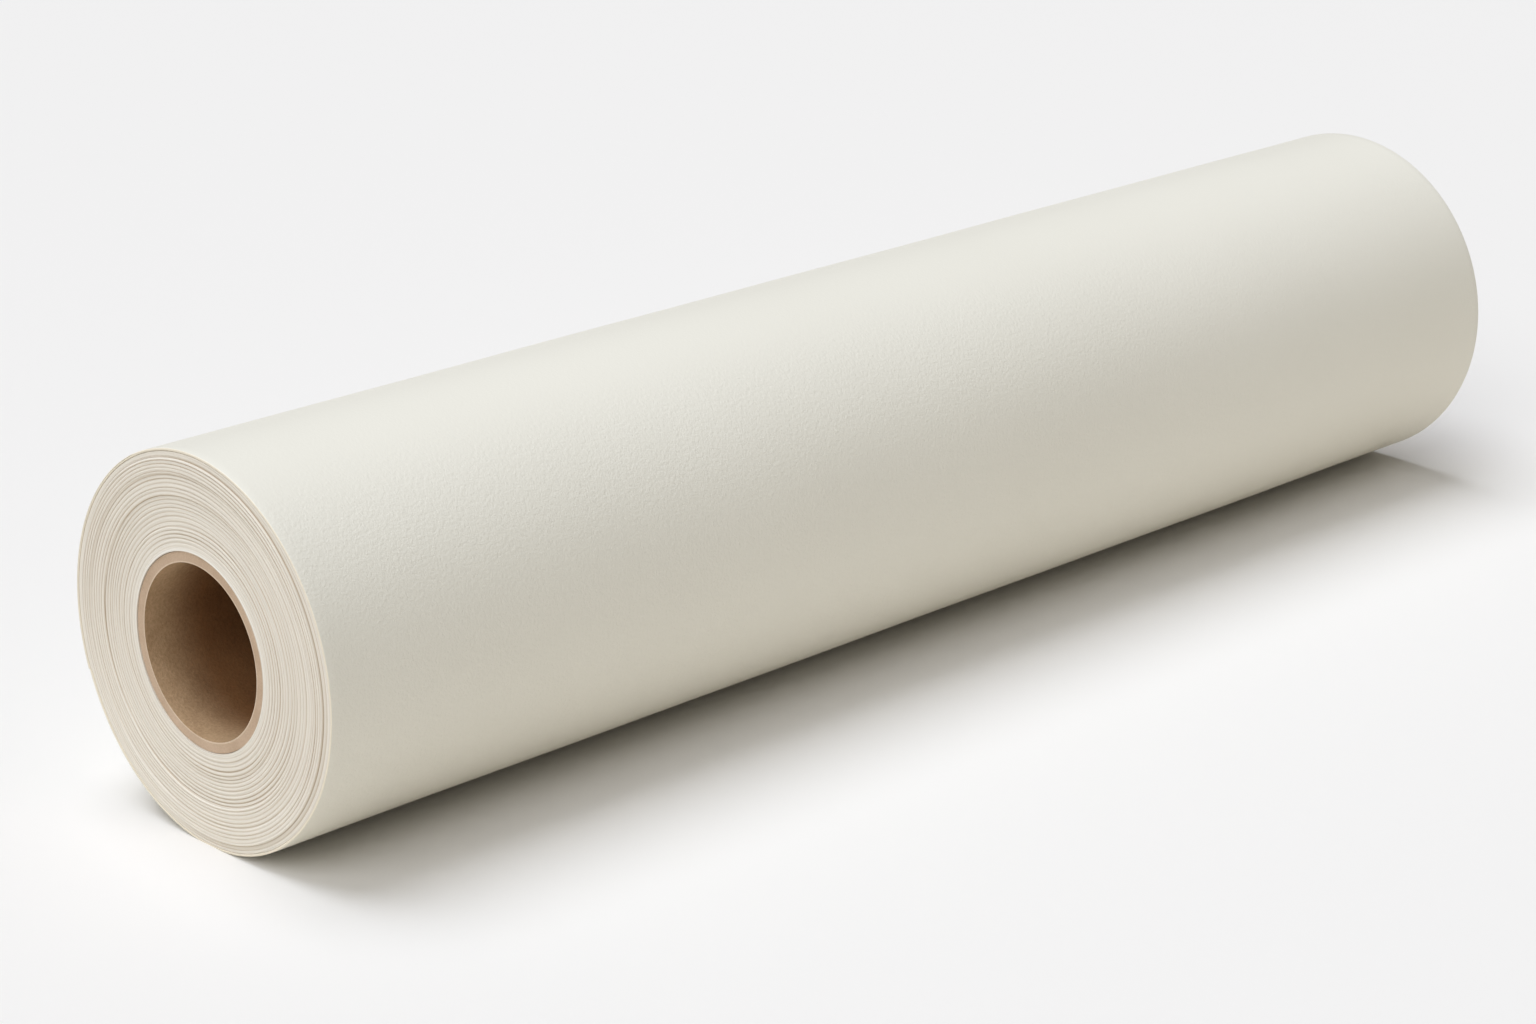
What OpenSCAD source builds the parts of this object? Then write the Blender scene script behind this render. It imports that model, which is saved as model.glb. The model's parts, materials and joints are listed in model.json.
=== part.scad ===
// Roll of seamless backdrop paper: one long web wound on a spiral-wound board core.
// The roll lies along Y and rests on the narrow flat that its own weight presses into it.
// Angles run around the roll from +X towards +Z, and the web winds outwards with them.

/* [Web] */
// Width of the paper web, which is the length of the roll
web_w = 660; // [400:10:1400]
// Thickness of one drawn turn of the loose outer web
sheet_t = 0.4; // [0.3:0.05:0.6]
// Air left between one loose turn and the next
turn_gap = 0.3; // [0.3:0.05:0.6]
// Width of the flat that the roll rests on
rest_w = 18; // [14:1:26]

/* [Core] */
// Bore of the core, which takes the crossbar
core_bore_d = 66; // [50:1:80]
// Thickness of the paper liner that faces the bore
liner_t = 0.5; // [0.4:0.1:0.8]
// Thickness of each board ply in the wall
board_t = 0.75; // [0.6:0.05:1]
// Thickness of the outermost ply, which the web is wound on
facing_t = 0.5; // [0.4:0.1:0.8]
// How far each end of the core stands back from the edge of the web
core_recess = 0.5; // [0:0.1:2]

/* [Wound turns] */
// Play between the core and the first turn, which the starting tape lies in
core_gap = 0.35; // [0.3:0.05:0.6]
// Radial build of the first turns, next to the core
first_build = 9; // [5:0.5:14]
// Radial build of the middle turns
middle_build = 11; // [6:0.5:16]
// Radial build of the outer turns
outer_build = 8; // [5:0.5:14]
// Radial build of the last tight turns
last_build = 5.75; // [3:0.25:10]
// Sideways shift of the first turns along the roll
first_shift = 0.3; // [-0.5:0.1:0.5]
// Sideways shift of the middle turns along the roll
middle_shift = 0.5; // [-0.5:0.1:0.5]
// Sideways shift of the outer turns along the roll
outer_shift = -0.1; // [-0.5:0.1:0.5]
// Sideways shift of the last tight turns along the roll
last_shift = -0.5; // [-0.5:0.1:0.5]

/* [Loose turns] */
// Number of loose turns under the outermost wrap
loose_count = 2; // [1:1:4]
// Sideways shift of the loose turns along the roll
loose_shift = 0.2; // [-0.5:0.1:0.5]
// How far the loose turns hang off the middle of the outer wrap, across the roll
loose_dx = -0.35; // [-0.6:0.05:0.6]
// How far the loose turns hang off the middle of the outer wrap, upwards
loose_dz = 0.1; // [-0.3:0.05:0.3]
// How far the wound turns and the core sit off the middle of the outer wrap, across the roll
pack_dx = -0.9; // [-1.5:0.1:1.5]
// How far the wound turns and the core sit off the middle of the outer wrap, upwards
pack_dz = 0.2; // [-0.5:0.1:0.5]

/* [Leading edge] */
// Angle at which the leading end of the web starts to lift off
lead_from = 130; // [110:1:150]
// Angle of the free edge of the web
lead_to = 200; // [180:1:215]
// Slit at each line where the leading end bends
bend_slit = 0.4; // [0.3:0.1:0.8]

/* [Tapes] */
// Thickness of the tape that starts the web on the core
start_tape_t = 0.25; // [0.2:0.01:0.28]
// Width of the starting tape, around the core
start_tape_w = 30; // [15:1:50]
// Distance from each end of the web to the end of the starting tape
start_tape_inset = 10; // [5:1:40]
// Angle around the core at which the starting tape is stuck
start_tape_a = 40; // [0:5:355]
// Thickness of the paper tabs that hold the leading edge
tab_t = 0.15; // [0.12:0.01:0.25]
// Width of each tab, along the roll
tab_w = 25; // [12:1:50]
// Length of each tab, around the roll
tab_l = 32; // [20:1:50]
// Distance from each end of the web to the middle of the tab next to it
tab_inset = 80; // [40:5:150]

/* [Hidden] */

board_plies = 4;
lead_panels = 3;
facet_a = 3;           // angle of one flat of a drawn turn
glue_t = 0.03;         // adhesive under a tab
wrap_lap_a = 30;       // how far the outer wrap runs on under its own leading end
wrap_slit_a = 2;       // slit between the outer wrap and the loose turns it continues into

core_l = web_w - 2 * core_recess;
bore_r = core_bore_d / 2;
board_r = bore_r + liner_t;
facing_r = board_r + board_plies * board_t;
core_r = facing_r + facing_t;

first_r = core_r + core_gap;
middle_r = first_r + first_build;
outer_r = middle_r + middle_build;
last_r = outer_r + outer_build;
pack_r = last_r + last_build;

// The loose web is one spiral. It is drawn as the turns inside the outer wrap, then the
// outer wrap itself, and then the leading end.
turn_pitch = sheet_t + turn_gap;
wrap_start_a = lead_from - 360 - wrap_lap_a;
loose_end_a = wrap_start_a - wrap_slit_a;
loose_start_a = loose_end_a - 360 * loose_count;
loose_clear = norm([pack_dx - loose_dx, pack_dz - loose_dz]);
wrap_clear = norm([loose_dx, loose_dz]);
loose_in_r = pack_r + turn_gap + loose_clear;

function loose_r(a) = loose_in_r + sheet_t + turn_pitch * (a - loose_start_a) / 360;
function wrap_r(a) = loose_r(a) + wrap_clear;

lead_step_a = (lead_to - lead_from) / lead_panels;
slit_a = bend_slit / wrap_r(lead_to) * 180 / PI;
axis_h = sqrt(pow(wrap_r(-90), 2) - pow(rest_w / 2, 2));

PAPER = [0.86, 0.85, 0.80];
PAPER_EDGE = [0.90, 0.88, 0.83];
KRAFT = [0.68, 0.54, 0.41];
BOARD = [0.73, 0.62, 0.51];
TAPE = [0.80, 0.72, 0.58];

function polar(r, a) = [r * cos(a), r * sin(a)];
function bedded(p, depth) = [p[0], max(p[1], -depth)];

// Angles of the facet corners from one angle to another
function corners(from, to) =
    let (n = ceil((to - from) / facet_a))
    [for (i = [0 : n]) from + (to - from) * i / n];

// Extrudes an outline of the roll's section along its axis
module along_roll(length, shift = 0, dx = 0, dz = 0) {
    translate([dx, shift + length / 2, axis_h + dz])
        rotate([90, 0, 0])
            linear_extrude(length) children();
}

module ring(r_in, r_out) {
    difference() {
        circle(r_out, $fn = 180);
        circle(r_in, $fn = 180);
    }
}

// A stretch of flat-sided strip between two radii
module arc_strip(from, to, r_in, t) {
    angles = corners(from, to);
    inner = [for (a = angles) polar(r_in, a)];
    outer = [for (i = [len(angles) - 1 : -1 : 0]) polar(r_in + t, angles[i])];
    polygon(concat(inner, outer));
}

// A stretch of the outer wrap or of the leading end, bedded down where the roll rests
module wrap_strip(from, to) {
    angles = corners(from, to);
    inner = [for (a = angles) bedded(polar(wrap_r(a) - sheet_t, a), axis_h - sheet_t)];
    outer = [for (i = [len(angles) - 1 : -1 : 0]) bedded(polar(wrap_r(angles[i]), angles[i]), axis_h)];
    polygon(concat(inner, outer));
}

module loose_strip() {
    angles = corners(loose_start_a, loose_end_a);
    inner = [for (a = angles) polar(loose_r(a) - sheet_t, a)];
    outer = [for (i = [len(angles) - 1 : -1 : 0]) polar(loose_r(angles[i]), angles[i])];
    polygon(concat(inner, outer));
}

module core_ply(r_in, t) {
    along_roll(core_l, 0, pack_dx, pack_dz) ring(r_in, r_in + t);
}

module board_ply(i) {
    color(BOARD) core_ply(board_r + i * board_t, board_t);
}

module wound(r_in, build, shift) {
    color(PAPER_EDGE) along_roll(web_w, shift, pack_dx, pack_dz) ring(r_in, r_in + build);
}

module lead_panel(i) {
    from = lead_from + i * lead_step_a;
    end = i < lead_panels - 1 ? slit_a / 2 : 0;
    color(PAPER) along_roll(web_w) wrap_strip(from + slit_a / 2, from + lead_step_a - end);
}

module edge_tab(i) {
    half_a = tab_l / wrap_r(lead_to) * 90 / PI;
    color(TAPE) along_roll(tab_w, i * (web_w / 2 - tab_inset))
        arc_strip(lead_to - half_a, lead_to + half_a, wrap_r(lead_to) + glue_t, tab_t);
}

module core_liner() { color(KRAFT) core_ply(bore_r, liner_t); }
module core_facing() { color(KRAFT) core_ply(facing_r, facing_t); }

module start_tape() {
    half_a = start_tape_w / core_r * 90 / PI;
    color(TAPE) along_roll(web_w - 2 * start_tape_inset, 0, pack_dx, pack_dz)
        arc_strip(start_tape_a - half_a, start_tape_a + half_a, core_r / cos(facet_a / 2), start_tape_t);
}

module first_turns() { wound(first_r, first_build, first_shift); }
module middle_turns() { wound(middle_r, middle_build, middle_shift); }
module outer_turns() { wound(outer_r, outer_build, outer_shift); }
module last_turns() { wound(last_r, last_build, last_shift); }

module loose_turns() {
    color(PAPER) along_roll(web_w, loose_shift, loose_dx, loose_dz) loose_strip();
}

module outer_wrap() {
    color(PAPER) along_roll(web_w) wrap_strip(wrap_start_a, lead_from - slit_a / 2);
}

core_liner();
board_ply(0);  // core_board_1
board_ply(1);  // core_board_2
board_ply(2);  // core_board_3
board_ply(3);  // core_board_4
core_facing();
start_tape();
first_turns();
middle_turns();
outer_turns();
last_turns();
loose_turns();
outer_wrap();
lead_panel(0);  // lead_root
lead_panel(1);  // lead_middle
lead_panel(2);  // lead_tip
edge_tab(-1);  // edge_tab_left
edge_tab(0);  // edge_tab_middle
edge_tab(1);  // edge_tab_right
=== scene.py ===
import json
import math

import bpy
import numpy as np
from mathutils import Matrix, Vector


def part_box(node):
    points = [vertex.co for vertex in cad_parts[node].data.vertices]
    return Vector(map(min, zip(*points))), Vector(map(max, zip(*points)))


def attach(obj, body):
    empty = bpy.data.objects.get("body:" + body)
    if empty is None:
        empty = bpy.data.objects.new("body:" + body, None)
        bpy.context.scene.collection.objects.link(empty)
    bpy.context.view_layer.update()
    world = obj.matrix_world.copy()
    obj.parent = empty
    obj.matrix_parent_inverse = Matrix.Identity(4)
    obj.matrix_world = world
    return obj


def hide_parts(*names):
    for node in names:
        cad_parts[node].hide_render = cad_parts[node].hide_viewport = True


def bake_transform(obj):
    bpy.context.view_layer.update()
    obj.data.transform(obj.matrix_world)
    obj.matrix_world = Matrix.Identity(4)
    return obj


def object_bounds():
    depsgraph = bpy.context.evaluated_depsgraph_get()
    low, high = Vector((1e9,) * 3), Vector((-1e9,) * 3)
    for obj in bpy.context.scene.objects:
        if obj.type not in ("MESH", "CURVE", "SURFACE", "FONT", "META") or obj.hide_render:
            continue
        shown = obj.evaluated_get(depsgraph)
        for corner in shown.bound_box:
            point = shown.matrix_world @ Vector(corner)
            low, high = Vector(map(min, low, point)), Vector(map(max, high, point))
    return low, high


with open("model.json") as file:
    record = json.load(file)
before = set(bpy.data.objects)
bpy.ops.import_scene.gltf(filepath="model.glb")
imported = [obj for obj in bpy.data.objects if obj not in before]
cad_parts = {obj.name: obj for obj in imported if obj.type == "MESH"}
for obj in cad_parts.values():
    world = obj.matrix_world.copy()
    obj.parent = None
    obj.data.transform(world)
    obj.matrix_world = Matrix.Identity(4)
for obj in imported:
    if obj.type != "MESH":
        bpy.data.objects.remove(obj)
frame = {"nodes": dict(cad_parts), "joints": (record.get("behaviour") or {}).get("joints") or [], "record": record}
cad_low, cad_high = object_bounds()
scene = bpy.context.scene
scene.view_settings.view_transform = "Standard"


# ---- Camera -------------------------------------------------------------------------------
# A long lens stands off the near end of the roll, on its open side and a little above it, so
# the roll runs away to the upper right.
eye = (1.0287, -1.0565, 0.5657)
heading, tilt = math.radians(135.602), math.radians(19.425)
bpy.ops.object.camera_add(location=eye)
camera = bpy.context.object
sight = Vector((math.cos(heading) * math.cos(tilt), math.sin(heading) * math.cos(tilt),
                -math.sin(tilt)))
camera.rotation_euler = sight.to_track_quat("-Z", "Y").to_euler()
camera.data.sensor_width = 36
camera.data.lens = 88.66
scene.camera = camera


# ---- Core ---------------------------------------------------------------------------------
# A tube of six plies of paperboard, wound as glued spirals and sawn square at both ends: a
# kraft liner round the bore, four grey-brown boards and a kraft facing that the web starts on.
# The web is taped to it, so it turns with the wound roll.
MM = 0.001
STEPS = 240                     # flats in one full turn of every turned piece
roll_turn = next(j for j in frame["joints"] if j["name"] == "roll_turn")
core_axis = (roll_turn["pos_m"][0], roll_turn["pos_m"][2])
bore = next(m for m in frame["record"]["mounts"] if m["name"] == "core_bore")
bore_r = bore["dims"]["r_mm"] * MM


def turned(name, outline, middle, start=0.0, sweep=360.0):
    """A solid turned about a line along Y, from start through sweep degrees.

    The outline is a closed loop of (radius, y) points.
    """
    bpy.ops.object.select_all(action="DESELECT")
    bpy.ops.mesh.primitive_circle_add(vertices=len(outline), radius=0.1, fill_type="NOTHING")
    piece = bpy.context.object
    piece.name = piece.data.name = name
    angle = math.radians(start)
    for vertex, (r, y) in zip(piece.data.vertices, outline):
        vertex.co = (middle[0] + r * math.cos(angle), y, middle[1] + r * math.sin(angle))
    bpy.ops.object.mode_set(mode="EDIT")
    bpy.ops.mesh.select_all(action="SELECT")
    if sweep < 360:             # part of a turn needs a cap at each of its ends
        bpy.ops.mesh.edge_face_add()
    bpy.ops.mesh.spin(steps=round(STEPS * sweep / 360), angle=math.radians(sweep),
                      use_auto_merge=True, center=(middle[0], 0, middle[1]), axis=(0, 1, 0))
    bpy.ops.mesh.select_all(action="SELECT")
    bpy.ops.mesh.remove_doubles(threshold=1e-6)
    bpy.ops.mesh.normals_make_consistent(inside=False)
    bpy.ops.object.mode_set(mode="OBJECT")
    return piece


def smooth(piece, degrees):
    bpy.ops.object.select_all(action="DESELECT")
    piece.select_set(True)
    bpy.context.view_layer.objects.active = piece
    bpy.ops.object.shade_smooth_by_angle(angle=math.radians(degrees))


def radius_of(node):
    low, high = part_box(node)
    return (high.x - low.x) / 2


def nodes_of(material):
    """Starts a material afresh, as one Principled surface."""
    material.use_nodes = True
    tree = material.node_tree
    tree.nodes.clear()
    output = tree.nodes.new("ShaderNodeOutputMaterial")
    surface = tree.nodes.new("ShaderNodeBsdfPrincipled")
    tree.links.new(surface.outputs["BSDF"], output.inputs["Surface"])
    return tree, surface


def fibre_group():
    """Paper fibre: mottled colour between two tones, and the height of the felted surface."""
    group = bpy.data.node_groups.new("paper_fibre", "ShaderNodeTree")
    face = group.interface
    face.new_socket("Light tone", in_out="INPUT", socket_type="NodeSocketColor")
    face.new_socket("Dark tone", in_out="INPUT", socket_type="NodeSocketColor")
    face.new_socket("Fibre scale", in_out="INPUT", socket_type="NodeSocketFloat").default_value = 900
    face.new_socket("Cloud scale", in_out="INPUT", socket_type="NodeSocketFloat").default_value = 40
    face.new_socket("Color", in_out="OUTPUT", socket_type="NodeSocketColor")
    face.new_socket("Height", in_out="OUTPUT", socket_type="NodeSocketFloat")
    new, link = group.nodes.new, group.links.new
    inside, outside = new("NodeGroupInput"), new("NodeGroupOutput")
    place = new("ShaderNodeTexCoord")
    fibres, clouds, blend, tones = (new("ShaderNodeTexNoise"), new("ShaderNodeTexNoise"),
                                    new("ShaderNodeMath"), new("ShaderNodeMix"))
    tones.data_type = "RGBA"
    fibres.inputs["Detail"].default_value = 4
    fibres.inputs["Roughness"].default_value = 0.6
    clouds.inputs["Detail"].default_value = 3
    blend.operation = "MULTIPLY_ADD"
    blend.inputs[1].default_value = 0.5
    for texture, scale in ((fibres, "Fibre scale"), (clouds, "Cloud scale")):
        link(place.outputs["Object"], texture.inputs["Vector"])
        link(inside.outputs[scale], texture.inputs["Scale"])
    halve, spread = new("ShaderNodeMath"), new("ShaderNodeMapRange")
    halve.operation = "MULTIPLY"
    halve.inputs[1].default_value = 0.5
    spread.inputs["From Min"].default_value = 0.30
    spread.inputs["From Max"].default_value = 0.70
    link(clouds.outputs["Fac"], halve.inputs[0])
    link(fibres.outputs["Fac"], blend.inputs[0])
    link(halve.outputs[0], blend.inputs[2])
    link(blend.outputs[0], spread.inputs["Value"])
    link(spread.outputs["Result"], tones.inputs["Factor"])
    link(inside.outputs["Dark tone"], tones.inputs["A"])
    link(inside.outputs["Light tone"], tones.inputs["B"])
    link(tones.outputs["Result"], outside.inputs["Color"])
    link(fibres.outputs["Fac"], outside.inputs["Height"])
    return group


FIBRE = fibre_group()


def covered(name, group, settings, relief, roughness):
    """A matt material that takes its colour and its relief from a node group."""
    material = bpy.data.materials.new(name)
    tree, surface = nodes_of(material)
    source, bump = tree.nodes.new("ShaderNodeGroup"), tree.nodes.new("ShaderNodeBump")
    source.node_tree = group
    for setting, value in settings.items():
        source.inputs[setting].default_value = value
    bump.inputs["Distance"].default_value = relief
    tree.links.new(source.outputs["Color"], surface.inputs["Base Color"])
    tree.links.new(source.outputs["Height"], bump.inputs["Height"])
    tree.links.new(bump.outputs["Normal"], surface.inputs["Normal"])
    surface.inputs["Roughness"].default_value = roughness
    return material


def fibrous(name, light, dark, fibre_scale, cloud_scale, relief, roughness):
    settings = {"Light tone": (*light, 1), "Dark tone": (*dark, 1), "Fibre scale": fibre_scale,
                "Cloud scale": cloud_scale}
    return covered(name, FIBRE, settings, relief, roughness)


def paint_bore_shade(material):
    """Painted shade in the bore: the kraft darkens from near its open ends to a deeper brown further in."""
    tree = material.node_tree
    new, link = tree.nodes.new, tree.links.new
    place, apart, depth = (new("ShaderNodeTexCoord"), new("ShaderNodeSeparateXYZ"),
                           new("ShaderNodeMath"))
    reach, tint, toned = new("ShaderNodeMapRange"), new("ShaderNodeMix"), new("ShaderNodeMix")
    depth.operation = "ABSOLUTE"
    reach.interpolation_type = "SMOOTHSTEP"
    reach.inputs["From Min"].default_value = cad_high.y - 4 * MM
    reach.inputs["From Max"].default_value = cad_high.y - 28 * MM
    tint.data_type = toned.data_type = "RGBA"
    tint.inputs["A"].default_value = (1, 1, 1, 1)
    # Painted shade: the colour that the kraft is darkened by, deep in the bore.
    tint.inputs["B"].default_value = (0.47, 0.33, 0.21, 1)
    toned.blend_type = "MULTIPLY"
    toned.inputs["Factor"].default_value = 1
    link(place.outputs["Object"], apart.inputs["Vector"])
    link(apart.outputs["Y"], depth.inputs[0])
    link(depth.outputs["Value"], reach.inputs["Value"])
    link(reach.outputs["Result"], tint.inputs["Factor"])
    surface = tree.nodes["Principled BSDF"]
    link(surface.inputs["Base Color"].links[0].from_socket, toned.inputs["A"])
    link(tint.outputs["Result"], toned.inputs["B"])
    link(toned.outputs["Result"], surface.inputs["Base Color"])


kraft = fibrous("kraft_liner", (0.67, 0.475, 0.295), (0.38, 0.245, 0.135), 900, 60, 0.28 * MM, 0.75)
# Painted shade: the kraft is darkened deeper into the bore.
paint_bore_shade(kraft)
board = fibrous("core_board", (0.68, 0.53, 0.41), (0.53, 0.39, 0.28), 1500, 90, 0.10 * MM, 0.85)
liner_edge = fibrous("liner_edge", (0.80, 0.67, 0.54), (0.68, 0.54, 0.42), 1500, 90, 0.08 * MM, 0.85)


def core_ply(node, r_in, material, end_material):
    """One ply: a tube whose sawn ends are eased by a hair, so that the plies read as rings."""
    r_out, (low, high) = radius_of(node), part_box(node)
    ease = 0.05 * MM
    ply = turned(node + "_wound", [
        (r_in, low.y + ease), (r_in + ease, low.y), (r_out - ease, low.y), (r_out, low.y + ease),
        (r_out, high.y - ease), (r_out - ease, high.y), (r_in + ease, high.y),
        (r_in, high.y - ease)], core_axis)
    ply.data.materials.append(material)
    ply.data.materials.append(end_material)
    for face in ply.data.polygons:
        face.material_index = int(abs(face.center.y) > high.y - 2 * ease)
    smooth(ply, 40)
    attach(ply, "wound_roll")
    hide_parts(node)
    return ply


ply_r = bore_r
for ply_node in ("core_liner", "core_board_1", "core_board_2", "core_board_3", "core_board_4",
                 "core_facing"):
    is_kraft = ply_node in ("core_liner", "core_facing")
    ply_edge = liner_edge if ply_node == "core_liner" else board
    made = core_ply(ply_node, ply_r, kraft if is_kraft else board, ply_edge)
    ply_r = radius_of(ply_node)
core_r = ply_r


# ---- Wound turns --------------------------------------------------------------------------
# The tight part of the web, in four groups of turns parted where the winding tension changed.
# The web is slit to width as it is wound, so its edges stand a little in and out in bundles,
# which ridge both ends of the roll.
RING = 0.12 * MM                # spacing of the points across a cut end
PAPER_R = core_r + 0.35 * MM    # where the web starts, clear of the core
# GROOVE is the depth at which a groove takes its full painted shade.
GROOVE = 0.42 * MM              # depth at which a groove has its full tone


def slit_profile(seed):
    """How far back the slit edges lie at each radius: even bundles of turns, and thin ones."""
    rng = np.random.default_rng(seed)
    radii = np.arange(core_r - 2 * MM, cad_high.x + 3 * MM, 0.02 * MM)
    back = np.zeros(len(radii))
    bundles = ((1.48 * MM, 0.27 * MM, 0.39 * MM), (0.45 * MM, 0.02 * MM, 0.05 * MM))
    for width, least, most in bundles:
        mark = radii[0]
        while mark < radii[-1]:
            pitch, crest = width * rng.uniform(0.88, 1.12), rng.uniform(0.40, 0.60)
            place = (radii - mark) / pitch
            inside = (place >= 0) & (place < 1)
            away = np.where(place < crest, (crest - place) / crest, (place - crest) / (1 - crest))
            back[inside] += rng.uniform(least, most) * away[inside] ** 2.2
            mark += pitch
    return radii, np.convolve(back, np.ones(3) / 3, "same")


def wander(r, angle, seed, spacing):
    """A drift of about -1 to 1 that goes slowly round the roll and changes along its radius."""
    rng = np.random.default_rng(seed)
    knots = np.arange(30 * MM, 80 * MM, spacing)
    drift = np.zeros(len(r))
    for turn in range(1, 7):
        for wave in (np.cos, np.sin):
            drift += np.interp(r, knots, rng.normal(0, turn ** -0.7, len(knots))) * wave(turn * angle)
    return drift / 1.2


PROFILES = {-1: slit_profile(11), 1: slit_profile(12)}


def slit_depth(r, angle, end):
    """How far back the slit edges lie at points of one end (-1 or 1) of the roll.

    The bundles drift in and out, are deeper in places, and lie flush next to the core.
    """
    radii, back = PROFILES[end]
    seed = 40 + 10 * end
    moved = r + 0.20 * MM * wander(r, angle, seed, 4 * MM)
    worn = np.clip(1 + 0.15 * wander(r, angle, seed + 1, 1.3 * MM), 0.4, 1.6)
    calm = np.clip((r - PAPER_R) / (4 * MM), 0.15, 1)
    fuzz = 0.02 * MM * wander(r, angle, seed + 2, 0.8 * MM)
    return calm * (np.interp(moved, radii, back) * worn + fuzz)


def slide_at(r):
    """How far the turns at each radius have slid along the roll: a step from group to group."""
    step = 0.5 * MM             # taken on each side of the join between two groups
    marks, slides, inner = [], [], PAPER_R
    for node in ("first_turns", "middle_turns", "outer_turns", "last_turns", "loose_turns"):
        low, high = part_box(node)
        outer = radius_of(node)
        marks += [inner + step, outer - step]
        slides += [(low.y + high.y) / 2] * 2
        inner = outer
    return np.interp(r, marks, slides)


def points_of(piece):
    co = np.empty(len(piece.data.vertices) * 3)
    piece.data.vertices.foreach_get("co", co)
    return co.reshape(-1, 3)


def put_points(piece, co):
    piece.data.vertices.foreach_set("co", co.ravel())
    piece.data.update()


def about(co, middle):
    """Radius and angle of each point about a line along Y."""
    x, z = co[:, 0] - middle[0], co[:, 2] - middle[1]
    return np.hypot(x, z), np.arctan2(z, x)


def shade_grooves(piece, back, full):
    """Stores how far back each point lies, for the shader: 0 on a crest, 1 in a groove. The shader paints shade by
    it.
    """
    attribute = piece.data.attributes.new("groove", "FLOAT", "POINT")
    attribute.data.foreach_set("value", (np.clip(back / full, 0, 1) ** 1.5).astype(np.float32))


def eased(count):
    """Places across a cut end from 0 to 1, and how far its two edges are rounded back."""
    places = np.linspace(0, 1, count)
    rounding = np.zeros(count)
    rounding[[0, -1]], rounding[[1, -2]] = 0.09 * MM, 0.02 * MM
    return places, rounding


def slit_edges_group():
    """Slit paper edges: pale crests over grooves that are partly a warm tone of their own and partly painted
    shade, with the finer lines of single sheets.
    """
    group = bpy.data.node_groups.new("slit_edges", "ShaderNodeTree")
    face = group.interface
    face.new_socket("Crest tone", in_out="INPUT", socket_type="NodeSocketColor")
    face.new_socket("Groove shade tone", in_out="INPUT", socket_type="NodeSocketColor")
    face.new_socket("Core ring highlight tone", in_out="INPUT", socket_type="NodeSocketColor")
    face.new_socket("Color", in_out="OUTPUT", socket_type="NodeSocketColor")
    face.new_socket("Height", in_out="OUTPUT", socket_type="NodeSocketFloat")
    new, link = group.nodes.new, group.links.new
    tones_in, result = new("NodeGroupInput"), new("NodeGroupOutput")
    place, centred, across, radius = (new("ShaderNodeTexCoord"), new("ShaderNodeMapping"),
                                      new("ShaderNodeVectorMath"), new("ShaderNodeVectorMath"))
    centred.inputs["Location"].default_value = (-core_axis[0], 0, -core_axis[1])
    across.operation, radius.operation = "MULTIPLY", "LENGTH"
    across.inputs[1].default_value = (1, 0, 1)
    link(place.outputs["Object"], centred.inputs["Vector"])
    link(centred.outputs["Vector"], across.inputs[0])
    link(across.outputs["Vector"], radius.inputs[0])
    drift, moved, sheets = (new("ShaderNodeTexNoise"), new("ShaderNodeMath"),
                            new("ShaderNodeTexNoise"))
    drift.inputs["Scale"].default_value = 22
    link(place.outputs["Object"], drift.inputs["Vector"])
    moved.operation = "MULTIPLY_ADD"
    moved.inputs[1].default_value = 3 * MM
    link(drift.outputs["Fac"], moved.inputs[0])
    link(radius.outputs["Value"], moved.inputs[2])
    sheets.noise_dimensions = "1D"
    sheets.inputs["Scale"].default_value = 1700
    sheets.inputs["Detail"].default_value = 2
    sheets.inputs["Roughness"].default_value = 0.6
    link(moved.outputs[0], sheets.inputs["W"])
    # Painted highlight: the crests within 0.5 mm of where the web starts, on the collar round the core, take a
    # paler tone, which fades out by 0.8 mm.
    first, pale, groove, tones = (new("ShaderNodeMapRange"), new("ShaderNodeMix"),
                                  new("ShaderNodeAttribute"), new("ShaderNodeMix"))
    first.inputs["From Min"].default_value = PAPER_R + 0.5 * MM
    first.inputs["From Max"].default_value = PAPER_R + 0.8 * MM
    first.inputs["To Min"].default_value = 1.0
    first.inputs["To Max"].default_value = 0.0
    link(radius.outputs["Value"], first.inputs["Value"])
    groove.attribute_name = "groove"
    pale.data_type = tones.data_type = "RGBA"
    link(first.outputs["Result"], pale.inputs["Factor"])
    link(tones_in.outputs["Crest tone"], pale.inputs["A"])
    link(tones_in.outputs["Core ring highlight tone"], pale.inputs["B"])
    # Painted shade: the stored groove value mixes in the groove shade tone.
    link(groove.outputs["Fac"], tones.inputs["Factor"])
    link(pale.outputs["Result"], tones.inputs["A"])
    link(tones_in.outputs["Groove shade tone"], tones.inputs["B"])
    shade, lines = new("ShaderNodeMapRange"), new("ShaderNodeMix")
    shade.inputs["From Min"].default_value = 0.30
    shade.inputs["From Max"].default_value = 0.60
    shade.inputs["To Min"].default_value = 0.90
    shade.inputs["To Max"].default_value = 1.03
    link(sheets.outputs["Fac"], shade.inputs["Value"])
    lines.data_type = "RGBA"
    lines.blend_type = "MULTIPLY"
    lines.inputs["Factor"].default_value = 1
    link(tones.outputs["Result"], lines.inputs["A"])
    link(shade.outputs["Result"], lines.inputs["B"])
    link(lines.outputs["Result"], result.inputs["Color"])
    link(sheets.outputs["Fac"], result.inputs["Height"])
    return group


SLIT_EDGES = slit_edges_group()
# The groove shade tone is painted shade in the grooves, over their own warm tone.
edge_tones = {"Crest tone": (0.915, 0.885, 0.83, 1), "Groove shade tone": (0.49, 0.385, 0.275, 1),
              # The core ring highlight tone is a painted highlight on the first turns round the core.
              "Core ring highlight tone": (0.97, 0.96, 0.92, 1)}
wound_edges = covered("wound_edges", SLIT_EDGES, edge_tones, 0.10 * MM, 0.7)


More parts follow.
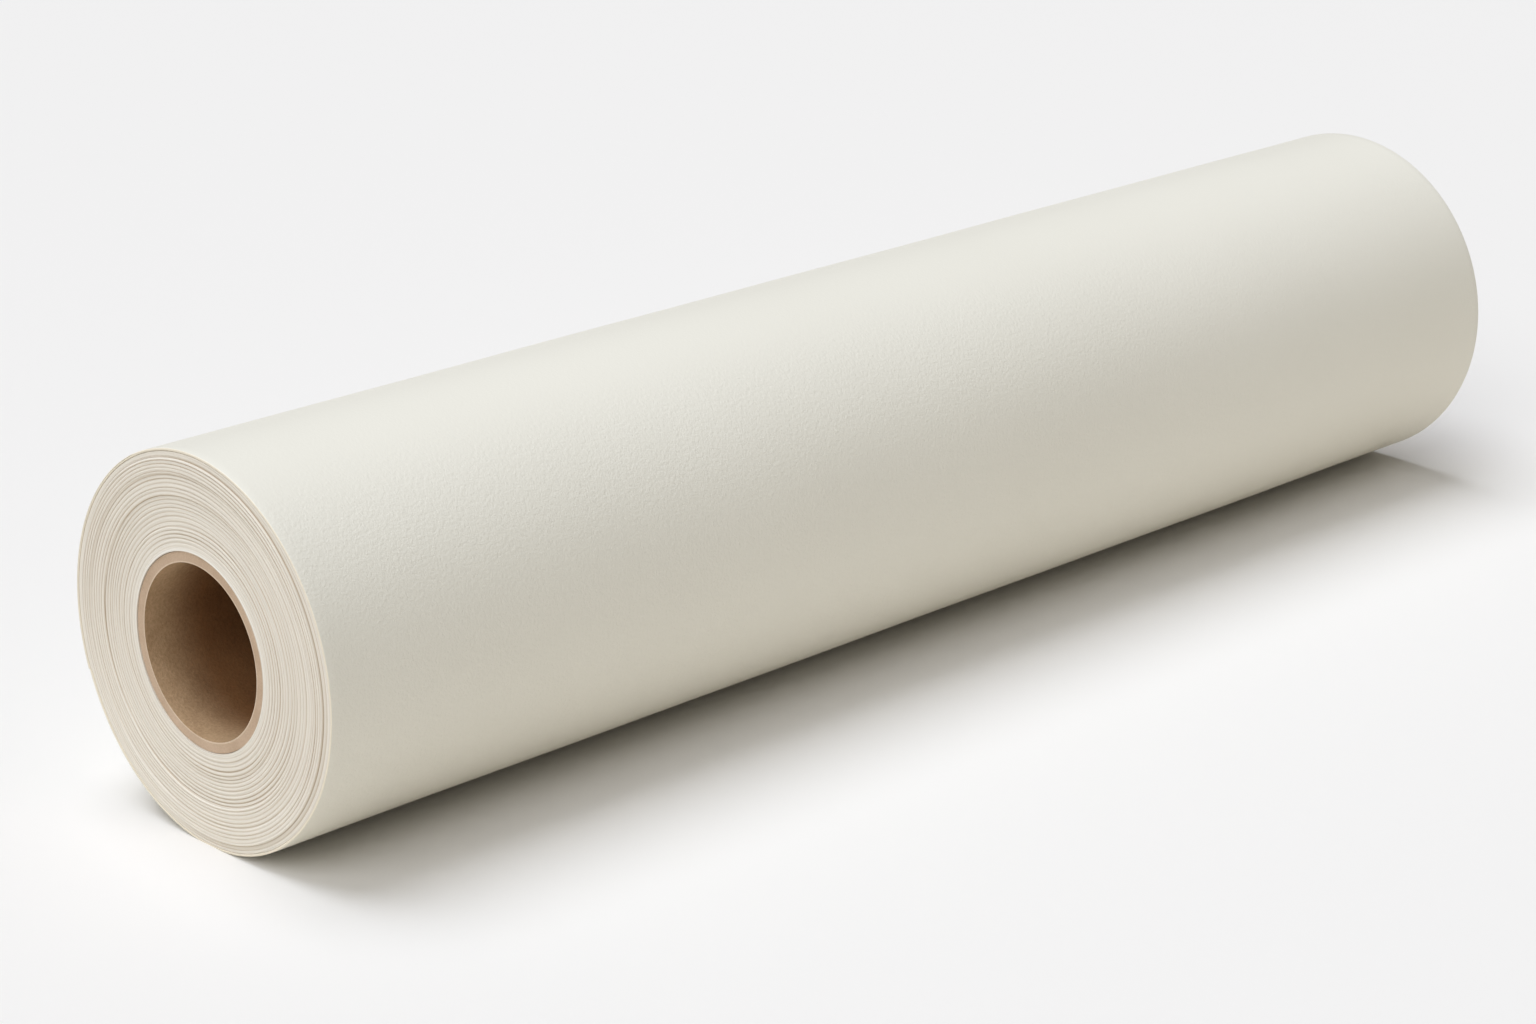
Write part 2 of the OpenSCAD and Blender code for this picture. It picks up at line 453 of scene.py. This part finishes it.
def wound_group(node, r_in):
    """One group of turns: a thick ring with ridged ends. Gives back its outer radius."""
    r_out, (low, high) = radius_of(node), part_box(node)
    places, rounding = eased(round((r_out - r_in) / RING))
    across = r_in + places * (r_out - r_in)
    outline = [(r, low.y) for r in across] + [(r, high.y) for r in across[::-1]]
    if node == "first_turns":   # the mouth is drawn in, so only a thin slit shows round the core
        lip_r, lip, throat = r_in - 0.17 * MM, 3 * MM, 4 * MM
        outline += [(lip_r, high.y), (lip_r, high.y - lip), (r_in, high.y - throat)]
        outline += [(r_in, low.y + throat), (lip_r, low.y + lip), (lip_r, low.y)]
    group = turned(node + "_edges", outline, core_axis)
    co = points_of(group)
    r, angle = about(co, core_axis)
    back = np.where(co[:, 1] < 0, slit_depth(r, angle, -1), slit_depth(r, angle, 1))
    # The innermost turns stand proud of the rest, as a collar round the core.
    collar = 0.30 * MM * (1 - np.clip((r - PAPER_R) / (0.9 * MM), 0, 1)) ** 2
    at_end, slide = np.abs(co[:, 1]) > high.y - 2 * MM, (low.y + high.y) / 2
    co[:, 1] -= at_end * np.sign(co[:, 1]) * (back + np.interp(r, across, rounding) - collar)
    co[:, 1] += at_end * (slide_at(r) - slide)
    put_points(group, co)
    # Painted shade: the grooves, and the rounded edges where this group meets the next, are darkened by their
    # depth.
    shade_grooves(group, back + 2 * np.interp(r, across, rounding), GROOVE)
    group.data.materials.append(wound_edges)
    smooth(group, 50)
    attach(group, "wound_roll")
    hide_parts(node)
    return r_out


turns_r = PAPER_R
for group_node in ("first_turns", "middle_turns", "outer_turns", "last_turns"):
    turns_r = wound_group(group_node, turns_r)
pack_r = turns_r


# ---- Starting tape ------------------------------------------------------------------------
# One strip of gummed paper tape along the core, under the first turn. It holds the start of the
# web to the facing, and is out of sight once the roll is wound.
tape_material = fibrous("paper_tape", (0.79, 0.69, 0.52), (0.72, 0.62, 0.46), 1200, 70, 0.05 * MM, 0.5)
start_tape = frame["nodes"]["start_tape"]
start_tape.data.materials.clear()
start_tape.data.materials.append(tape_material)


# ---- Paper face ---------------------------------------------------------------------------
# The smooth side of the web, which the outer wrap and the leading end show: matt off-white
# seamless paper with a fine toothy grain, rubbed softer along the top and towards the far end.
def face_material():
    """Off-white paper whose grain fades out towards the far end and towards the top."""
    material = bpy.data.materials.new("web_face")
    tree, surface = nodes_of(material)
    new, link = tree.nodes.new, tree.links.new
    place, tooth, pebbles, clouds = (new("ShaderNodeTexCoord"), new("ShaderNodeTexNoise"),
                                     new("ShaderNodeTexNoise"), new("ShaderNodeTexNoise"))
    for texture, scale, detail in ((tooth, 1500, 2), (pebbles, 700, 1), (clouds, 9, 3)):
        texture.inputs["Scale"].default_value = scale
        texture.inputs["Detail"].default_value = detail
        link(place.outputs["Object"], texture.inputs["Vector"])
    tones = new("ShaderNodeMix")
    tones.data_type = "RGBA"
    tones.inputs["A"].default_value = (0.895, 0.891, 0.832, 1)
    tones.inputs["B"].default_value = (0.940, 0.938, 0.884, 1)
    link(clouds.outputs["Fac"], tones.inputs["Factor"])
    link(tones.outputs["Result"], surface.inputs["Base Color"])
    grain, apart = new("ShaderNodeMath"), new("ShaderNodeSeparateXYZ")
    grain.operation = "MULTIPLY_ADD"
    grain.inputs[1].default_value = 0.6
    link(tooth.outputs["Fac"], grain.inputs[0])
    link(pebbles.outputs["Fac"], grain.inputs[2])
    link(place.outputs["Object"], apart.inputs["Vector"])
    for axis, start, end, least in (("Y", 0, 300 * MM, 0.4), ("Z", 132 * MM, 147 * MM, 0.3)):
        fade, faded = new("ShaderNodeMapRange"), new("ShaderNodeMath")
        fade.interpolation_type = "SMOOTHSTEP"
        fade.inputs["From Min"].default_value = start
        fade.inputs["From Max"].default_value = end
        fade.inputs["To Min"].default_value = 1
        fade.inputs["To Max"].default_value = least
        faded.operation = "MULTIPLY"
        link(apart.outputs[axis], fade.inputs["Value"])
        link(grain.outputs[0], faded.inputs[0])
        link(fade.outputs["Result"], faded.inputs[1])
        grain = faded
    bump = new("ShaderNodeBump")
    bump.inputs["Distance"].default_value = 0.19 * MM
    link(grain.outputs[0], bump.inputs["Height"])
    link(bump.outputs["Normal"], surface.inputs["Normal"])
    surface.inputs["Roughness"].default_value = 0.40
    return material


paper = face_material()
# The groove shade tone is painted shade on the inner part of the outer sheet's cut edges.
outer_tones = {"Crest tone": (0.94, 0.89, 0.78, 1), "Groove shade tone": (0.55, 0.44, 0.30, 1)}
outer_edges = covered("outer_edges", SLIT_EDGES, outer_tones, 0.10 * MM, 0.7)


# ---- Loose turns --------------------------------------------------------------------------
# Two slack turns between the tight roll and the outermost wrap. They have slumped away to the
# left, so a shallow groove opens between their edges along the right and the bottom.
wrap_axis = (core_axis[0] + 0.9 * MM, core_axis[1] - 0.2 * MM)  # the tight roll lies off it
lap_a, free_a = 117.0, 200.0    # degrees to the start of the leading end and to its free edge
turn_pitch = 0.7 * MM           # how far the web winds outwards in one turn
WRAP = 1.00 * MM                # the outermost wrap, as thick as it is drawn
body_r = cad_high.z - wrap_axis[1]


def wrap_r(angle):
    """Outer radius of the outermost wrap at an angle, which grows towards its free edge."""
    return body_r - turn_pitch * (90 - angle) / 360


def unrolled(angle):
    """Degrees along the outermost wrap, which end at the free edge."""
    degrees = np.degrees(angle)
    return np.where(degrees > free_a - 359.99, degrees, degrees + 360)


loose_low, loose_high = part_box("loose_turns")
places, rounding = eased(22)
inner_r = pack_r + 0.08 * MM
across = [inner_r + place * MM for place in places]  # a millimetre deep, then stretched to the wrap
loose_loop = [(r, loose_low.y) for r in across] + [(r, loose_high.y) for r in across[::-1]]
loose = turned("loose_turns_edges", loose_loop, core_axis)
co = points_of(loose)
r, angle = about(co, core_axis)
share = (r - inner_r) / MM
start = np.stack([core_axis[0] + inner_r * np.cos(angle), core_axis[1] + inner_r * np.sin(angle)], 1)
gap = (0.07 + 0.05 * np.clip(np.sin(angle), 0, 1)) * MM
outer_r = wrap_r(unrolled(angle)) - WRAP - gap
stop = np.stack([wrap_axis[0] + outer_r * np.cos(angle), wrap_axis[1] + outer_r * np.sin(angle)], 1)
co[:, [0, 2]] = start + share[:, None] * (stop - start)
edge = (1 - share) * np.hypot(*(stop - start).T)
r, angle = about(co, core_axis)
open_right = np.clip(0.35 + 0.75 * np.cos(angle + math.radians(20)), 0, 1)
groove = 0.30 * MM * open_right * np.exp(-((edge - 2.2 * MM) / (0.60 * MM)) ** 2)
back = np.where(co[:, 1] < 0, slit_depth(r, angle, -1), slit_depth(r, angle, 1))
back *= 0.7 * np.clip((edge - 0.6 * MM) / (0.5 * MM), 0.1, 1)
co[:, 1] -= np.sign(co[:, 1]) * (back + groove + np.interp(share, places, rounding))
co[:, 1] += slide_at(r) - (loose_low.y + loose_high.y) / 2
put_points(loose, co)
# Painted shade: the grooves, the open groove on the right and bottom, and the rounded edges are darkened by their
# depth.
shade_grooves(loose, back + 0.50 * groove + 2 * np.interp(share, places, rounding), GROOVE)
loose.data.materials.append(wound_edges)
smooth(loose, 50)
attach(loose, "loose_turns")
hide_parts("loose_turns")


# ---- Outer wrap ---------------------------------------------------------------------------
# The outermost turn of the web, which is the body of the roll and beds down flat where it rests.
# Behind the roll it steps in under the leading end, which lies over it there, and past the free
# edge it stands out a little before it settles onto its spiral.
wrap_low, wrap_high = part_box("outer_wrap")
LEDGE = 0.34 * MM               # the step in under the leading end
SETTLE = 60                     # degrees past the free edge that the wrap takes to settle
rim = [(-1.00, 0.34), (-0.96, 0.18), (-0.86, 0.07), (-0.66, 0.01), (-0.40, 0.0), (-0.24, 0.03),
       (-0.11, 0.11), (-0.03, 0.23), (0.0, 0.38)]  # its rounded end: outwards and back, in mm
along = np.linspace(wrap_low.y + 4 * MM, wrap_high.y - 4 * MM, 34)
outline = [(body_r + s * MM, wrap_low.y + d * MM) for s, d in rim] + [(body_r, y) for y in along]
outline += [(body_r + s * MM, wrap_high.y - d * MM) for s, d in reversed(rim)]


def follow_web(co, ledge):
    """Moves turned points onto the web's spiral and beds them on the floor.

    With a ledge, they step in under the leading end too.
    """
    r, angle = about(co, wrap_axis)
    a, depth = unrolled(angle), body_r - r
    r = wrap_r(a) - depth
    if ledge:
        raised = (turn_pitch - LEDGE) * np.clip(1 - (a - free_a + 360) / SETTLE, 0, 1)
        r = r + np.where(a > lap_a + 0.1, -LEDGE, raised) * (1 - depth / WRAP)
    swell = 0.05 * MM * (np.sin(co[:, 1] * 21 + 2 * angle) + np.sin(co[:, 1] * 47 - 3 * angle + 1.3))
    swell *= np.clip((wrap_high.y - 2 * MM - np.abs(co[:, 1])) / (20 * MM), 0, 1)
    r = r + np.where(depth < 0.35 * MM, swell, 0)
    co[:, 0] = wrap_axis[0] + r * np.cos(angle)
    co[:, 2] = np.maximum(wrap_axis[1] + r * np.sin(angle), cad_low.z)
    return co


def paint_edges(sheet, depth):
    """The smooth face over the sheet, and its slit edges along both ends, whose inner part is darkened with
    painted shade next to the turns under it.
    """
    sheet.data.materials.append(paper)
    sheet.data.materials.append(outer_edges)
    for face in sheet.data.polygons:
        face.material_index = int(abs(face.center.y) > wrap_high.y - depth)
    co = points_of(sheet)
    r, angle = about(co, wrap_axis)
    # Painted shade: the deeper part of the sheet's cut edge is darkened towards the turns below.
    inner = np.clip((wrap_r(unrolled(angle)) - r) / (0.4 * MM) - 1.5, 0, 1)
    shade_grooves(sheet, inner * np.clip(wrap_high.y - np.abs(co[:, 1]), 0, depth), 0.4 * MM)


wrap = turned("outer_wrap_paper", outline, wrap_axis)
put_points(wrap, follow_web(points_of(wrap), True))
paint_edges(wrap, 0.28 * MM)
smooth(wrap, 60)
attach(wrap, "outer_wrap")
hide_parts("outer_wrap")


# ---- Leading end --------------------------------------------------------------------------
# The last of the web, up to its free edge behind the roll. It lies over the step of the wrap, and is
# made as three lengths that meet half-way between the lines it bends at when it peels off.
SHEET = 0.3 * MM
FIRST_BEND = 130                # degrees to the first line that it bends at
STEP_A = (free_a - FIRST_BEND) / 3


def lead_length(name, start, end, node):
    """One length of the leading end, from start to end degrees."""
    lip = [(-SHEET, 0.10 * MM), (-0.7 * SHEET, 0.0), (-0.3 * SHEET, 0.02 * MM), (0.0, 0.14 * MM)]
    loop = [(body_r + s, wrap_low.y + d) for s, d in lip] + [(body_r, y) for y in along]
    loop += [(body_r + s, wrap_high.y - d) for s, d in reversed(lip)]
    loop += [(body_r - SHEET, y) for y in along[::-1]]
    sheet = turned(name, loop, wrap_axis, start, end - start)
    put_points(sheet, follow_web(points_of(sheet), False))
    paint_edges(sheet, 0.12 * MM)
    smooth(sheet, 40)
    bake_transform(sheet)
    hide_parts(node)
    return sheet


bends = [FIRST_BEND + i * STEP_A for i in range(3)]
joins = [(bends[0] + bends[1]) / 2, (bends[1] + bends[2]) / 2]
lead_length("leading_end_root", lap_a, joins[0], "lead_root")
lead_length("leading_end_middle", joins[0], joins[1],
            "lead_middle")
tip = lead_length("leading_end_tip", joins[1], free_a,
                  "lead_tip")
for face in tip.data.polygons:  # the cut along the free edge is a slit edge too
    face_a = math.atan2(face.center.z - wrap_axis[1], face.center.x - wrap_axis[0])
    if unrolled(face_a) > free_a - 0.1:
        face.material_index = 1


# ---- Edge tabs ----------------------------------------------------------------------------
# Three short tabs of paper tape over the free edge. Each is stuck on the leading end, steps down
# over its edge onto the wrap, and comes away with the leading end.
TAPE, GLUE = 0.12 * MM, 0.03 * MM
TAB_START, TAB_SWEEP = 188, 24  # degrees
TAB_STEP = 0.26 * MM            # its step down, just past the free edge
for tab_node in ("edge_tab_left", "edge_tab_middle", "edge_tab_right"):
    tab_low, tab_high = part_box(tab_node)
    under_r, over_r = body_r + GLUE, body_r + GLUE + TAPE
    tab_loop = [(under_r, tab_low.y), (over_r, tab_low.y), (over_r, tab_high.y),
                (under_r, tab_high.y)]
    tab = turned(tab_node + "_tape", tab_loop, wrap_axis, TAB_START, TAB_SWEEP)
    co = points_of(tab)
    r, angle = about(co, wrap_axis)
    a = np.degrees(angle) % 360
    r = r - body_r + wrap_r(np.minimum(a, free_a))
    r -= TAB_STEP * np.clip((a - free_a - 0.2) / 1.5, 0, 1)
    co[:, 0] = wrap_axis[0] + r * np.cos(angle)
    co[:, 2] = wrap_axis[1] + r * np.sin(angle)
    put_points(tab, co)
    tab.data.materials.append(tape_material)
    smooth(tab, 30)
    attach(tab, "lead_tip")
    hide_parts(tab_node)


# ---- Floor and light ----------------------------------------------------------------------
# A plain pale floor under one broad soft source, high up and a little behind the roll, with a
# weak soft fill on the near end and an even pale room.
bpy.ops.mesh.primitive_plane_add(size=16, location=(0, 0, 0))
floor = bpy.context.object
floor.name = "floor"
floor_material = bpy.data.materials.new("floor")
tree, surface = nodes_of(floor_material)
path, choice = tree.nodes.new("ShaderNodeLightPath"), tree.nodes.new("ShaderNodeMix")
choice.data_type = "RGBA"
choice.inputs["A"].default_value = (0.86, 0.82, 0.75, 1)
choice.inputs["B"].default_value = (0.885, 0.887, 0.900, 1)
tree.links.new(path.outputs["Is Camera Ray"], choice.inputs["Factor"])
tree.links.new(choice.outputs["Result"], surface.inputs["Base Color"])
surface.inputs["Roughness"].default_value = 0.9
surface.inputs["Specular IOR Level"].default_value = 0.1
floor.data.materials.append(floor_material)

world = bpy.data.worlds.new("room")
scene.world = world
world.use_nodes = True
tree = world.node_tree
background = tree.nodes["Background"]
path, choice = tree.nodes.new("ShaderNodeLightPath"), tree.nodes.new("ShaderNodeMix")
choice.data_type = "RGBA"
choice.inputs["A"].default_value = (0.165, 0.150, 0.125, 1)
choice.inputs["B"].default_value = (0.89, 0.89, 0.90, 1)
tree.links.new(path.outputs["Is Camera Ray"], choice.inputs["Factor"])
tree.links.new(choice.outputs["Result"], background.inputs["Color"])


def soft_lamp(name, source, level, spread, tint):
    """A broad, far source: level 1 lights a surface that faces it to its own colour."""
    bpy.ops.object.light_add(type="SUN", location=source)
    lamp = bpy.context.object
    lamp.name = name
    lamp.rotation_euler = Vector(source).to_track_quat("Z", "Y").to_euler()
    lamp.data.energy = level * math.pi
    lamp.data.angle = math.radians(spread)
    lamp.data.color = tint


soft_lamp("overhead", (-0.25, -0.14, 1.0), 0.64, 42, (0.98, 1.0, 1.03))
soft_lamp("end_fill", (0.25, -0.65, 0.72), 0.33, 40, (1.0, 0.99, 0.97))
